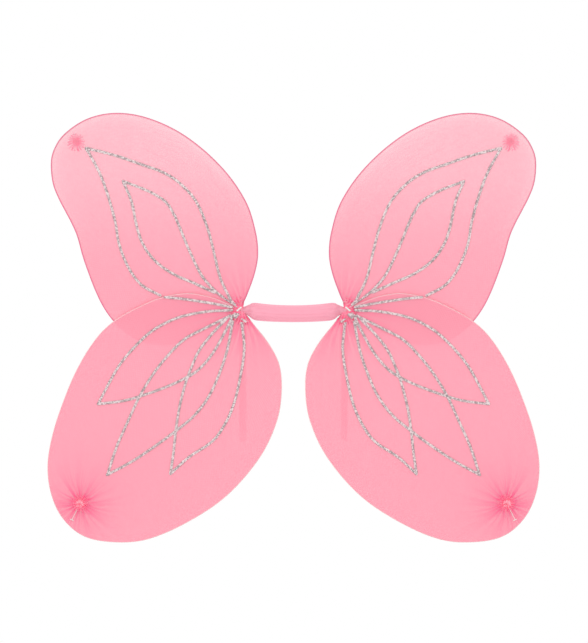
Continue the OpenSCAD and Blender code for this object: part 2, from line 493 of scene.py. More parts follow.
def nylon(wing):
    """Stocking nylon that fans out from the root's gather to the tip's, in one layer."""
    # Its faint pink emission is a painted glow, standing in for light that comes through the layers from
    # behind.
    f = Finish(f"nylon_{wing.kind}", Roughness=0.55, Specular_IOR_Level=0.15,
               Sheen_Weight=0.06, Sheen_Roughness=0.4,
               Emission_Color=PAINTED_GLOW, Emission_Strength=0.045)
    upper = wing.kind == "upper"
    x, _, z = f.split(f.place())
    x = f.math("ABSOLUTE", x)

    def polar(pole):
        dx, dz = x - float(pole[0]), z - float(pole[1])
        return f.math("SQRT", dx * dx + dz * dz + 1e-8), f.math("ARCTAN2", dz, dx)

    from_root, root_angle = polar(root)
    from_tip, tip_angle = polar(wing.tip)
    wale = root_angle - tip_angle
    course = f.math("LOGARITHM", from_root / from_tip, math.e)
    swirl = f.vector(f.math("COSINE", wale) * 3, f.math("SINE", wale) * 3, course * 0.16)
    pleats = f.noise(swirl, 2.9, 2.0, 0.5)
    fine = f.noise(swirl, 9.0, 2.0, 0.5)
    hairs = f.noise(swirl, 30.0, 2.0, 0.6)
    folds = f.rise(pleats * 0.6 + fine * 0.4, 0.4, 0.6)
    inset = f.attribute("inset")
    at_root = f.fall(from_root, (18 if upper else 21) * MM)
    if upper:
        strands = f.rise(f.math("SINE", tip_angle * 19.0 + pleats * 7), -0.25, 0.45)
        hanging = f.rise(f.math("SINE", tip_angle) * -1.0, -0.3, 0.8)
        reach = strands * (hanging * 0.7 + 0.3) * (4.5 * MM) + (pleats - 0.5) * (6 * MM)
        burst = 1 - f.rise(from_tip - reach, 7.5 * MM, 9.5 * MM)
        tip_depth = burst * (strands * f.rise(from_tip, 1 * MM, 7 * MM) * 0.46 + 0.05)
    else:
        at_tip = f.fall(from_tip, 17 * MM)
        tip_depth = at_tip * (folds * 1.2 + 0.3) * 1.3
    dense = f.math("MINIMUM", at_root * (folds * 1.9 + 0.2) + tip_depth, 1.0)
    if upper:
        # Towards the top, and most along the top rim, the upper nylon is made more see-through, so it
        # shows paler.
        height = f.rise(z, 10 * MM, 225 * MM)
        by_rim = f.fall(inset, 9 * MM)
        opacity_shift = height * -0.235 + height * by_rim * -0.16 + height * (hairs - 0.5) * 0.3
        # Painted light: low on the upper wing and near its rim, where the lower wing lies in front, the
        # nylon is made more see-through, lifting the shade that the layers cast on each other there.
        painted_light_below = 1 - f.rise(z, -38 * MM, 6 * MM)
        opacity_shift = opacity_shift - painted_light_below * f.fall(inset, 16 * MM) * 0.4
        # For the upper wing the rim is a deeper, greyer pink: partly the nylon doubled round the wire,
        # partly painted shade along the edge.
        rim_colour, rim_cover = tone(218, 98, 136), 0.8
    else:
        opacity_shift = f.fall(from_tip, 70 * MM) * 0.10 + f.rise(z, -85 * MM, -30 * MM) * 0.035
        rim_colour, rim_cover = tone(255, 232, 226), -0.5
    drift = f.noise(f.vector(x, 0.0, z), 9.0, 2.0) - 0.5
    knit = f.math("SINE", wale * 190.0) * f.math("SINE", course * 150.0)
    rim = 1 - f.rise(inset, (0.8 if upper else 0.4) * MM, (2.5 if upper else 1.1) * MM)
    colour = f.mix(dense, tone(255, 166, 184), tone(255, 100, 146))
    colour = f.mix(rim * 0.7, colour, rim_colour)
    layer = 0.73 + opacity_shift + drift * 0.05 + knit * 0.03
    cover = layer + (1 - layer) * dense * 0.85
    f.wear(Base_Color=colour,
           Alpha=f.math("MINIMUM", cover + (1 - cover) * rim * rim_cover if upper
                        else cover * (1 + rim * rim_cover), 0.98),
           Normal=f.bump(knit + dense * pleats * 8, 0.12 * MM, 0.5))
    return f


def gathered():
    """Nylon bunched into many layers, deeper in its folds and fading where it spreads."""
    # Its pink emission is a painted glow, standing in for light that comes through the bunched layers.
    f = Finish("gathered_nylon", Roughness=0.6, Specular_IOR_Level=0.15, Sheen_Weight=0.1,
               Emission_Color=PAINTED_GLOW, Emission_Strength=0.08)
    fold, fade = f.attribute("fold"), f.attribute("fade")
    grain = f.noise(f.place(), 700.0, 2.0)
    shade = f.math("MINIMUM", f.math("MAXIMUM", fold + (grain - 0.5) * 0.9, 0.0), 1.0)
    f.wear(Base_Color=f.mix(shade, tone(255, 84, 134), tone(255, 196, 208)),
           Alpha=f.math("MINIMUM", fade, 1.0), Normal=f.bump(grain, 0.1 * MM, 0.4))
    return f


def bar_cloth():
    """Brushed jersey with a fine knit, and creases that run in from the gathered ends."""
    f = Finish("bar_jersey", Roughness=0.85, Specular_IOR_Level=0.2, Sheen_Weight=0.25,
               Sheen_Roughness=0.5)
    place = f.place()
    x, y, z = f.split(place)
    inward = f.math("ABSOLUTE", x)
    angle = f.math("ARCTAN2", z, y + 9 * MM)
    end = f.rise(inward, 26 * MM, 60 * MM)
    crease = f.noise(f.vector(x * 22.0, f.math("COSINE", angle) * 1.6,
                              f.math("SINE", angle) * 1.6), 3.2, 3.0, 0.6)
    knit = f.math("SINE", x * (2 * math.pi / (0.9 * MM))) * f.math("SINE", angle * 74.0)
    fuzz = f.noise(place, 1400.0, 2.0)
    creased = (f.rise(crease, 0.35, 0.65) - 0.5) * end
    # Painted shade: the jersey is darkened in the troughs of the creases.
    colour = f.mix(f.math("MAXIMUM", creased * -1.4, 0.0), tone(252, 166, 186), tone(242, 136, 162))
    # Painted light: the bar is made paler towards its top, where the light falls on it.
    colour = f.mix(f.rise(z, -12 * MM, 8 * MM) * 0.35, colour, tone(255, 176, 194))
    f.wear(Base_Color=f.mix(fuzz * 0.12, colour, tone(255, 196, 208)),
           Normal=f.bump(creased * 4 + knit * 0.25 + fuzz * 0.4, 0.25 * MM, 0.6))
    return f


def glitter(name, dull, bright, **constants):
    """Silver glitter set in glue. Its tone runs from dull to bright, partly the glitter's own mix and
    partly painted glints and reflections. shine is a random value on each flake.
    """
    f = Finish(name, **constants)
    place = f.place()
    grain = f.specks(place, 1900.0)
    clump = f.rise(f.specks(place, 740.0), 0.33, 0.67)
    level = f.math("MINIMUM", f.attribute("shine") * 0.26 + grain * 0.12 + clump * 0.7, 1.0)
    f.wear(Base_Color=f.mix(level, dull, bright),
           Roughness=0.55 - level * 0.3,
           Normal=f.bump(grain, 0.25 * MM, 0.7))
    return f


def elastic():
    """White braided elastic: ribs along it and a fine weave across them."""
    f = Finish("white_elastic", Roughness=0.75, Specular_IOR_Level=0.25, Sheen_Weight=0.15)
    along, across = f.attribute("along"), f.attribute("across")
    weave = (f.math("SINE", along * (2 * math.pi / (0.8 * MM)))
             * f.math("SINE", across * (2 * math.pi / (1.1 * MM))))
    soil = f.noise(f.place(), 90.0, 3.0)
    thread = f.rise(weave, -0.9, 0.9)
    colour = f.mix(thread, tone(232, 229, 226), tone(255, 253, 250))
    f.wear(Base_Color=f.mix(soil * 0.2, colour, tone(244, 236, 231)),
           Normal=f.bump(weave, 0.12 * MM, 0.8))
    return f


def plain(name, first, second, scale, bump, **constants):
    """A moulded, spun or drawn surface: two tones in a fine grain, with its bump."""
    f = Finish(name, **constants)
    grain = f.noise(f.place(), scale, 3.0)
    f.wear(Base_Color=f.mix(f.rise(grain, 0.3, 0.7), first, second),
           Roughness=grain * 0.2 + (constants["Roughness"] - 0.1),
           Normal=f.bump(grain, bump))
    return f


thread_finish = plain("pink_thread", tone(238, 120, 156), tone(254, 168, 192), 2600.0, 0.08 * MM,
                      Roughness=0.7, Sheen_Weight=0.2)
wire_finish = plain("coated_wire", tone(248, 240, 236), tone(255, 251, 248), 300.0, 0.01 * MM,
                    Roughness=0.35, Coat_Weight=0.2)
barb_finish = plain("clear_barb", tone(236, 226, 222), tone(252, 247, 245), 700.0, 0.01 * MM,
                    Roughness=0.3, Alpha=0.85)
steel_finish = plain("bright_wire", tone(150, 152, 156), tone(190, 192, 196), 500.0, 0.01 * MM,
                     Roughness=0.3, Metallic=1.0)
tape_finish = plain("paper_tape", tone(226, 216, 194), tone(240, 232, 214), 420.0, 0.06 * MM,
                    Roughness=0.8)
foam_finish = plain("white_foam", tone(236, 234, 226), tone(250, 249, 244), 900.0, 0.2 * MM,
                    Roughness=0.95)
elastic_finish = elastic()
gather_finish = gathered()
bar_finish = bar_cloth()
# The glue's and flakes' dark-to-white tones are partly painted glints and reflections.
glue_finish = glitter("glitter_glue", tone(176, 146, 152), tone(250, 226, 228), Metallic=0.1)
flake_finish = glitter("glitter_flake", tone(78, 97, 90), tone(255, 255, 253), Metallic=0.3)


# ---- geometry trees ----


class Growth(Graph):
    """A geometry tree with named inputs."""

    def __init__(self, name, inputs):
        super().__init__(bpy.data.node_groups.new(name, "GeometryNodeTree"))
        face = self.tree.interface
        for way in ("OUTPUT", "INPUT"):
            face.new_socket("Geometry", in_out=way, socket_type="NodeSocketGeometry")
        for label, kind in {**inputs, "Finish": "Material"}.items():
            face.new_socket(label, in_out="INPUT", socket_type=f"NodeSocket{kind}")
        self.source = self.tree.nodes.new("NodeGroupInput")
        self.end = self.tree.nodes.new("NodeGroupOutput")

    def given(self, label):
        return Value(self, self.source.outputs[label])

    def step(self, kind, sockets=(), **settings):
        return self.node("GeometryNode" + kind, settings, sockets)

    def chance(self, low, high):
        """A random number between two, for each point."""
        return self.node("FunctionNodeRandomValue", (), {2: low, 3: high, "Seed": self.given("Seed")}, 1)

    def ends_in(self, geometry):
        """Real geometry with the finish on it."""
        whole = self.step("RealizeInstances", {"Geometry": geometry})
        done = self.step("SetMaterial", {"Geometry": whole, "Material": self.given("Finish")})
        self.tree.links.new(done.socket, self.end.inputs[0])

    def grow(self, name, base, finish, **inputs):
        """A plain mesh object that the tree makes from a base mesh."""
        obj = new_object(name, base.data if base else bpy.data.meshes.new(name))
        modifier = obj.modifiers.new("grow", "NODES")
        modifier.node_group = self.tree
        keys = {i.name: i.identifier for i in self.tree.interface.items_tree if i.in_out == "INPUT"}
        for label, value in {**inputs, "Finish": finish.material}.items():
            modifier[keys[label.replace("_", " ")]] = value
        obj.update_tag()
        bpy.context.view_layer.update()
        return finished(obj)


def flake_tree():
    """Six-sided flakes strewn over the front of a line of glue."""
    g = Growth("glitter_flakes", {"Density": "Float", "Size": "Float", "Seed": "Int"})
    normal = g.step("InputNormal")
    facing = g.node("ShaderNodeSeparateXYZ", (), {"Vector": normal}, out="Y")
    front = g.node("FunctionNodeCompare", {"operation": "LESS_THAN"}, {"A": facing, "B": -0.25})
    points = g.step("DistributePointsOnFaces", {
        "Mesh": g.given("Geometry"), "Selection": front, "Density": g.given("Density"),
        "Seed": g.given("Seed")})
    flake = g.step("MeshCircle", {"Vertices": 6, "Radius": g.given("Size")}, fill_type="NGON")
    tilt = g.node("FunctionNodeRandomValue", {"data_type": "FLOAT_VECTOR"}, {
        "Min": (-0.7, -0.7, 0.0), "Max": (0.7, 0.7, 6.3), "Seed": g.given("Seed")})
    turn = g.node("FunctionNodeRotateRotation", {"rotation_space": "LOCAL"}, {
        "Rotation": g.other(points, "Rotation"),
        "Rotate By": g.node("FunctionNodeEulerToRotation", (), {"Euler": tilt})})
    size = g.chance(0.6, 1.35)
    strewn = g.step("InstanceOnPoints", {
        "Points": points, "Instance": flake, "Rotation": turn, "Scale": size})
    shine = g.chance(0.0, 1.0)
    g.ends_in(g.step("StoreNamedAttribute", {"Geometry": strewn, "Name": "shine", "Value": shine},
                     domain="INSTANCE"))
    return g


def winding_tree():
    """Thread wound in close turns about the Z axis, then turned and moved into place."""
    g = Growth("thread_winding", {
        "Turns": "Float", "Radius": "Float", "Height": "Float", "Thread": "Float",
        "Turn": "Rotation", "Place": "Vector"})
    spiral = g.step("CurveSpiral", {
        "Resolution": 40, "Rotations": g.given("Turns"), "Start Radius": g.given("Radius"),
        "End Radius": g.given("Radius"), "Height": g.given("Height")})
    section = g.step("CurvePrimitiveCircle", {"Resolution": 8, "Radius": g.given("Thread")})
    thread = g.step("CurveToMesh", {"Curve": spiral, "Profile Curve": section, "Fill Caps": True})
    g.ends_in(g.step("Transform", {
        "Geometry": thread, "Translation": g.given("Place"), "Rotation": g.given("Turn")}))
    return g


def stitch_tree():
    """Short stitches, one after another along a seam."""
    g = Growth("seam_stitches", {"Spacing": "Float", "Length": "Float", "Thread": "Float"})
    seam = g.step("MeshToCurve", {"Mesh": g.given("Geometry")})
    points = g.step("CurveToPoints", {"Curve": seam, "Length": g.given("Spacing")}, mode="LENGTH")
    stitch = g.step("MeshUVSphere", {"Segments": 8, "Rings": 6, "Radius": 1.0})
    drawn = g.step("Transform", {
        "Geometry": stitch, "Scale": g.vector(g.given("Thread"), g.given("Thread"), g.given("Length"))})
    g.ends_in(g.step("InstanceOnPoints", {
        "Points": points, "Instance": drawn, "Rotation": g.other(points, "Rotation")}))
    return g


def tuft_tree():
    """The cut end of gathered nylon: creased slips that curl outwards from where it is tied."""
    g = Growth("nylon_tuft", {"Count": "Int", "Reach": "Float", "Width": "Float", "Seed": "Int",
                              "Turn": "Rotation", "Place": "Vector"})
    reach, width = g.given("Reach"), g.given("Width")
    slip = g.step("MeshGrid", {"Size X": width, "Size Y": reach, "Vertices X": 3, "Vertices Y": 8})
    slip = g.step("Transform", {"Geometry": slip, "Translation": g.vector(0.0, reach * 0.5, 0.0)})
    across = g.node("ShaderNodeSeparateXYZ", (), {"Vector": g.step("InputPosition")})
    along = g.other(across, "Y")
    curl = along * 0.95 - along * along / reach * 0.75 + g.math("ABSOLUTE", across) * 0.9
    slip = g.step("SetPosition", {"Geometry": slip, "Offset": g.vector(0.0, 0.0, curl)})
    ring = g.step("MeshCircle", {"Vertices": g.given("Count"), "Radius": width * 0.8})
    golden = g.step("InputIndex") * 2.39996
    tilt = g.chance(-0.1, 0.75)
    turn = g.node("FunctionNodeEulerToRotation", (), {"Euler": g.vector(tilt, 0.0, golden)})
    length = g.chance(0.55, 1.1)
    slips = g.step("InstanceOnPoints", {"Points": ring, "Instance": slip, "Rotation": turn,
                                        "Scale": length})
    fold = g.chance(0.05, 1.0)
    for name, value in (("fold", fold), ("fade", 0.88)):
        slips = g.step("StoreNamedAttribute", {"Geometry": slips, "Name": name, "Value": value},
                       domain="INSTANCE")
    g.ends_in(g.step("Transform", {
        "Geometry": slips, "Translation": g.given("Place"), "Rotation": g.given("Turn")}))
    return g


flakes, winding, stitches, tufts = flake_tree(), winding_tree(), stitch_tree(), tuft_tree()


# ---- pieces of the wings ----


def make_cover(kind, hand, side, finish, shape):
    points, faces, inset = shape
    cover = piece(f"{kind}_nylon_{hand}", points, faces, finish, side, {"inset": inset})
    return settle(cover, f"{hand}_wings", "nylon", f"{kind}_cover_{hand}")


def make_wire(kind, hand, side):
    """The bent wire inside the rim, from the root and back to it."""
    wing = wings[kind]
    line = wing.inset_line(WIRE_R)
    line = smooth_line([root, *line[norm(line - root, axis=1) > 5 * MM], root], 2.5 * MM)
    line = columns(line[:, 0], wing.y, line[:, 1])
    across = np.cross(unit(np.gradient(line, axis=0)), (0, 1, 0))
    out = np.tile((0.0, 1.0, 0.0), (len(line), 1))
    points, faces = sweep(line, across, out, round_section(0.85 * MM, 12))
    wire = face_outward(piece(f"{kind}_loop_wire_{hand}", points, faces, wire_finish, side))
    settle(wire, f"{hand}_wings", "coated_wire", f"{kind}_wire_{hand}")


def rounded(glue, voxel, rounds):
    """Glue as one soft skin."""
    remesh = glue.modifiers.new("round", "REMESH")
    remesh.mode, remesh.voxel_size, remesh.use_smooth_shade = "VOXEL", voxel, True
    soften = glue.modifiers.new("soften", "SMOOTH")
    soften.factor, soften.iterations = 0.6, rounds
    return finished(glue)


def make_veins(node, kind, hand, side, seed):
    """A line of glue laid on the nylon, rounded, with glitter strewn over it."""
    proud, sunk, wider = 1.5, 0.25 * MM, 0.03 * MM
    glue = new_object(f"{node}_glue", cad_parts[node].data.copy())
    mesh = bmesh.new()
    mesh.from_mesh(glue.data)
    bmesh.ops.remove_doubles(mesh, verts=mesh.verts, dist=0.003 * MM)
    back = max(v.co.y for v in mesh.verts)
    for v in mesh.verts:
        v.co.y = back + (v.co.y - back) * proud
    mesh.to_mesh(glue.data)
    mesh.free()
    rounded(glue, 0.6 * MM, 5)
    at = points_of(glue.data)
    flat = columns(at[:, 0] * side, at[:, 2])
    surface = np.minimum(wings[kind].front(flat), gather_front(flat))
    surface[surface == HIDDEN] = wings[kind].y
    at[:, 1] += surface - back + sunk
    normals = np.array([v.normal for v in glue.data.vertices])
    at[:, [0, 2]] += wider * normals[:, [0, 2]]
    move_points(glue, at)
    dress_with_glitter(glue, node, hand, seed, node)


def dress_with_glitter(glue, name, hand, seed, *nodes):
    """Gives glue its finish and strews flakes over it."""
    glue.data.materials.clear()
    glue.data.materials.append(glue_finish.material)
    shine = glue.data.attributes.new("shine", "FLOAT", "POINT")
    shine.data.foreach_set("value", np.full(len(glue.data.vertices), 0.4, np.float32))
    strewn = flakes.grow(f"{name}_flakes", glue, flake_finish, Density=1.7e6, Size=0.4 * MM, Seed=seed)
    settle(glue, f"{hand}_wings", "glitter", *nodes)
    settle(strewn, f"{hand}_wings", "glitter")


def make_root_glitter(hand, side):
    """The blob of glue at the root, the short dab below it, and the ends of the upper leaves."""
    blob = [(74.8, -5.8, 3.6), (72.4, -4.8, 2.4), (77.8, -5.4, 2.2), (76.0, -8.4, 2.0),
            (79.8, -6.6, 1.5)]
    dab = [(66.8 - 0.9 * i, -10.4 - 0.68 * i, 1.25 + 0.1 * i) for i in range(6)]
    run = [(84.0 - 1.7 * i, 17.0 - 1.75 * i, 1.6) for i in range(6)]
    run += [(92.4 - 1.8 * i, 18.2 - 1.28 * i, 1.75 - 0.05 * i) for i in range(11)]
    soft = bmesh.new()
    for x, z, radius in blob + dab + run:
        spot = np.array([(x, z)]) * MM
        y = min(gather_front(spot)[0], wings["lower"].front(spot)[0], wings["upper"].front(spot)[0])
        ball = bmesh.ops.create_icosphere(soft, subdivisions=3, radius=radius * MM)["verts"]
        for v in ball:
            v.co = (side * (v.co.x + x * MM), v.co.y * 0.4 + y, v.co.z + z * MM)
    glue = new_object(f"root_glitter_{hand}", bpy.data.meshes.new("root_glitter"))
    soft.to_mesh(glue.data)
    soft.free()
    dress_with_glitter(rounded(glue, 0.45 * MM, 4), glue.name, hand, 31)


def rosette(centre, y, side_y, lobes, seed, spread, comb=0.05, paler_with_painted_light=0.0):
    """A ruffle of gathered nylon standing off the wing: points, faces, folds and fading."""
    random = np.random.default_rng(seed)
    turns, rings = lobes * 10, 9
    radius, height, tied = 12 * MM, 3.4 * MM, 1.4 * MM
    angle = full_turn(turns)
    ragged = np.interp(angle, np.linspace(0, 2 * math.pi, 14), random.random(14), period=2 * math.pi)
    reach = radius * (0.86 + 0.14 * ragged)
    wave = np.sin(angle * lobes + 1.3 * np.sin(angle * 3 + seed)) * (
        0.7 + 0.3 * np.sin(angle * 5 + seed))
    points, fold, fade = [], [], []
    for ring in range(rings):
        t = ring / (rings - 1)
        r = tied + (reach - tied) * t * (1 + comb * wave * t)
        off = height * (0.35 + 0.65 * math.sin(math.pi * min(1, t * 1.15) * 0.62)) + 0.9 * MM * wave * t
        points += list(zip(centre[0] + r * np.cos(angle), y + side_y * np.maximum(off, 0.25 * MM),
                           centre[1] + r * np.sin(angle)))
        fold += list(0.34 + paler_with_painted_light + 0.42 * wave + 0.1 * t)
        fade += list(np.clip(0.95 - 0.5 * paler_with_painted_light - 0.85 * t ** spread - 0.3 * t * wave, 0.02, 1))
    faces = flipped(lattice(rings, turns)) + [tuple(range(turns))]
    if side_y > 0:
        faces = [tuple(reversed(f)) for f in faces]
    return points, faces, fold, fade


def make_tuft(kind, hand, side):
    wing = wings[kind]
    facing = 1 if kind == "upper" else -1
    y = wing.y + facing * SLACK
    style = {"lobes": 17, "seed": 9, "spread": 1.4}
    if kind == "upper":
        # The upper ruffle is made paler and sheerer, as painted light lifting the shade it sits in
        # behind the wing.
        style = {"lobes": 25, "seed": 5, "spread": 1.2, "comb": 0.12, "paler_with_painted_light": 0.62}
    points, faces, fold, fade = rosette(wing.tip, y, facing, **style)
    tuft = piece(f"{kind}_tip_ruffle_{hand}", points, faces, gather_finish, side,
                 {"fold": fold, "fade": fade})
    low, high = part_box(f"{kind}_tie_{hand}")
    centre = (low + high) / 2
    wound = winding.grow(f"{kind}_tip_thread_{hand}", None, thread_finish, Turns=3.0,
                         Radius=2.3 * MM, Height=1.1 * MM, Thread=0.28 * MM, Turn=(math.pi / 2, 0, 0),
                         Place=(centre.x, y + facing * 0.6 * MM + 0.55 * MM, centre.z))
    cut_end = tufts.grow(f"{kind}_tip_tuft_{hand}", None, gather_finish, Count=64,
                         Reach=7.5 * MM, Width=1.1 * MM, Seed=3, Turn=(-facing * math.pi / 2, 0, 0),
                         Place=(centre.x, y + facing * 1.1 * MM, centre.z))
    settle(tuft, f"{hand}_wings", "gathered_nylon", f"{kind}_tuft_{hand}")
    settle(cut_end, f"{hand}_wings", "gathered_nylon")
    settle(wound, f"{hand}_wings", "thread", f"{kind}_tie_{hand}")
    return tuft


GATHER_REACH = 20 * MM
GATHER_HOLE = 1.2 * MM
GATHER_SPAN = (-142, 104)   # degrees round the root, from the inner edge below to the one above


def boss_front(flat, r):
    """Y of the covers' front, drawn out to BOSS_FRONT within 2 mm of the root and not past 11 mm."""
    under = np.minimum(wings["upper"].front(flat), wings["lower"].front(flat))
    under = np.where(under == HIDDEN, -9 * MM, under)
    close = close_by(r, 2 * MM, 9 * MM)
    return under * (1 - close) + BOSS_FRONT * close


def gather_front(flat):
    """Y of the front of the nylon bunched round the root, or HIDDEN where it doesn't reach."""
    away = flat - root
    r = norm(away, axis=1)
    angle = np.degrees(np.arctan2(away[:, 1], away[:, 0]))
    y = boss_front(flat, r) - 0.45 * MM
    reached = (r < 0.93 * GATHER_REACH) & (angle > GATHER_SPAN[0] + 6) & (angle < GATHER_SPAN[1] - 6)
    return np.where(reached, y, HIDDEN)


def make_collar(hand, side):
    """The nylon of both wings bunched round the root, pleated, and spreading into the covers."""
    turns, rings = 480, 18
    angle = np.radians(np.linspace(*GATHER_SPAN, turns))
    share = np.linspace(0, 1, turns)
    ends = np.clip(np.minimum(share, 1 - share) / 0.08, 0, 1)
    pleat = np.sin(angle * 21 + 1.4 * np.sin(angle * 5)) * 0.65 + np.sin(angle * 37 + 2) * 0.35
    points, fold, fade = [], [], []
    for ring in range(rings):
        t = ring / (rings - 1)
        r = (GATHER_HOLE + (GATHER_REACH - GATHER_HOLE) * t) * (0.55 + 0.45 * ends)
        flat = root + columns(r * np.cos(angle), r * np.sin(angle))
        y = boss_front(flat, r) - 0.18 * MM
        y -= 0.3 * MM * (1 + pleat) * math.sin(math.pi * min(1, t * 1.2 + 0.1))
        points += list(zip(flat[:, 0], y, flat[:, 1]))
        fold += list(0.34 + 0.62 * pleat - 0.1 * t)
        spread = np.clip((t - 0.2) / 0.8, 0, 1)
        fade += list(np.clip(1 - spread * (1.05 + 0.7 * pleat), 0, 1) * 0.95 * (1 - spread**6))
    faces = flipped(lattice(rings, turns, ring=False))
    faces += [(len(points), j, j + 1) for j in range(turns - 1)] + [(len(points), turns - 1, 0)]
    points.append((root[0], BOSS_FRONT - 0.3 * MM, root[1]))
    fold.append(0.3)
    fade.append(1.0)
    collar = piece(f"root_gather_{hand}", points, faces, gather_finish, side,
                   {"fold": fold, "fade": fade})
    specks = flakes.grow(f"root_specks_{hand}", collar, flake_finish, Density=2.2e5,
                         Size=0.45 * MM, Seed=47)
    settle(collar, f"{hand}_wings", "gathered_nylon")
    settle(specks, f"{hand}_wings", "glitter")


def make_binding(hand):
    low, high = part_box(f"root_binding_{hand}")
    centre = (low + high) / 2
    margin = 0.35 * MM
    wound = winding.grow(f"root_thread_{hand}", None, thread_finish, Turns=9.0, Thread=0.34 * MM,
                         Radius=(high.z - low.z) / 2 - margin, Height=(high.x - low.x) - 2 * margin,
                         Turn=(0, math.pi / 2, 0), Place=(low.x + margin, centre.y, centre.z))
    settle(wound, f"{hand}_wings", "thread", f"root_binding_{hand}")


# ---- elastic ----


def elastic_piece(name, line, across, out, section, side, body, *nodes, closed=False):
    points, faces = sweep(line, across, out, section, closed)
    along = length_along(line)
    made = piece(name, points, faces, elastic_finish, side, {
        "along": np.repeat(along, len(section)), "across": np.tile([s[0] for s in section], len(line))})
    settle(face_outward(made), body, "elastic", *nodes)


def make_loop(hand, side):
    """The arm loop along its CAD ribbon's middle, and the knot that it hangs from."""
    ring = rim_of("arm_loop_right", 0)[:, [1, 2]]
    low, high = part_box("arm_loop_right")
    lengths = norm(np.roll(ring, -1, axis=0) - ring, axis=1)
    knot = middle_of("loop_knot_right")[[1, 2]]
    near = norm(ring - knot, axis=1) < 6 * MM
    start = min((i for i in range(len(ring)) if near[i] and near[(i + 1) % len(ring)]),
                key=lambda i: abs(lengths[i] - 1.2 * MM))
    ring = np.roll(ring, -(start + 1), axis=0)
    half = len(ring) // 2
    line = (ring[:half] + ring[::-1][:half]) / 2
    line = columns((low.x + high.x) / 2, *smooth_line(line, 1.6 * MM).T)
    across = np.tile((1.0, 0.0, 0.0), (len(line), 1))
    out = np.cross(unit(np.gradient(line, axis=0)), across)
    from_end = np.minimum(np.arange(len(line)), np.arange(len(line))[::-1])
    pinch = 1 - 0.45 * np.exp(-from_end / 4)
    elastic_piece(f"arm_elastic_{hand}", line, across * pinch[:, None], out,
                  elastic_section(high.x - low.x, 1.15 * MM), side, f"{hand}_loop", f"arm_loop_{hand}")
    t = full_turn(90)
    low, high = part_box("loop_knot_right")
    centre, size = np.array((low + high) / 2), np.array(high - low) / 2
    trefoil = columns(-np.sin(3 * t), np.sin(t) + 2 * np.sin(2 * t), np.cos(t) - 2 * np.cos(2 * t))
    line = centre + trefoil * (size - 1.2 * MM) / (1, 3, 3)
    across, out = turned(line)
    elastic_piece(f"elastic_knot_{hand}", line, across, out, elastic_section(3.4 * MM, 1.5 * MM, 3),
                  side, f"{hand}_loop", f"loop_knot_{hand}", closed=True)


def make_hitch(hand, side):
    """Two turns of the elastic round the root, and its cut end at the front."""
    low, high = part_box("elastic_hitch_right")
    t = np.linspace(0, 4 * math.pi, 120)
    r = (high.z - low.z) / 2 - 0.85 * MM
    line = columns(low.x + 1.0 * MM + (high.x - low.x - 2.0 * MM) * t / t[-1],
                   (low.y + high.y) / 2 + r * np.cos(t), r * np.sin(t))
    out = columns(0.0, np.cos(t), np.sin(t))
    across = np.tile((1.0, 0.0, 0.0), (len(t), 1))
    elastic_piece(f"elastic_turns_{hand}", line, across, out, elastic_section(2.2 * MM, 0.8 * MM, 3),
                  side, f"{hand}_wings", f"elastic_hitch_{hand}")
    front = BOSS_FRONT - 0.9 * MM
    bend = [(73.8, 0.9, 0.0), (72.2, 0.0, 1.1), (69.8, -0.1, 3.3), (67.6, 0.6, 5.0)]
    bend = smooth_line([(x * MM, front + y * MM, z * MM) for x, y, z in bend], 0.5 * MM)
    heading = unit(np.gradient(bend, axis=0))
    out = unit(np.tile((0.0, -1.0, 0.0), (len(bend), 1)) + heading * heading[:, 1:2])
    elastic_piece(f"elastic_end_{hand}", bend, np.cross(out, heading), out,
                  elastic_section(2.1 * MM, 0.7 * MM, 3), side, f"{hand}_wings")


# ---- padded bar ----


def bar_sag(x, reach):
    """How far the bar's middle line lies from straight: it sags, and rises a little at its ends."""
    u = np.abs(x) / reach
    return 1.2 * MM * u**4 - 3.4 * MM * (1 - u**2)


def bar_tube(x, radius, around, ripple=0.0, sag=None):
    """Rings of points round the bar's middle line."""
    low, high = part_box("pad_sleeve")
    angle = full_turn(around)
    wave = 1 + ripple * (np.sin(angle * 15) + 0.6 * np.sin(angle * 23 + 1))
    ring = radius[:, None] * wave
    drop = (bar_sag(x, high.x) if sag is None else sag)[:, None]
    points = columns(np.repeat(x, around), (low.y + high.z + ring * np.sin(angle)).ravel(),
                     (drop + ring * np.cos(angle)).ravel())
    return points, lattice(len(x), around)


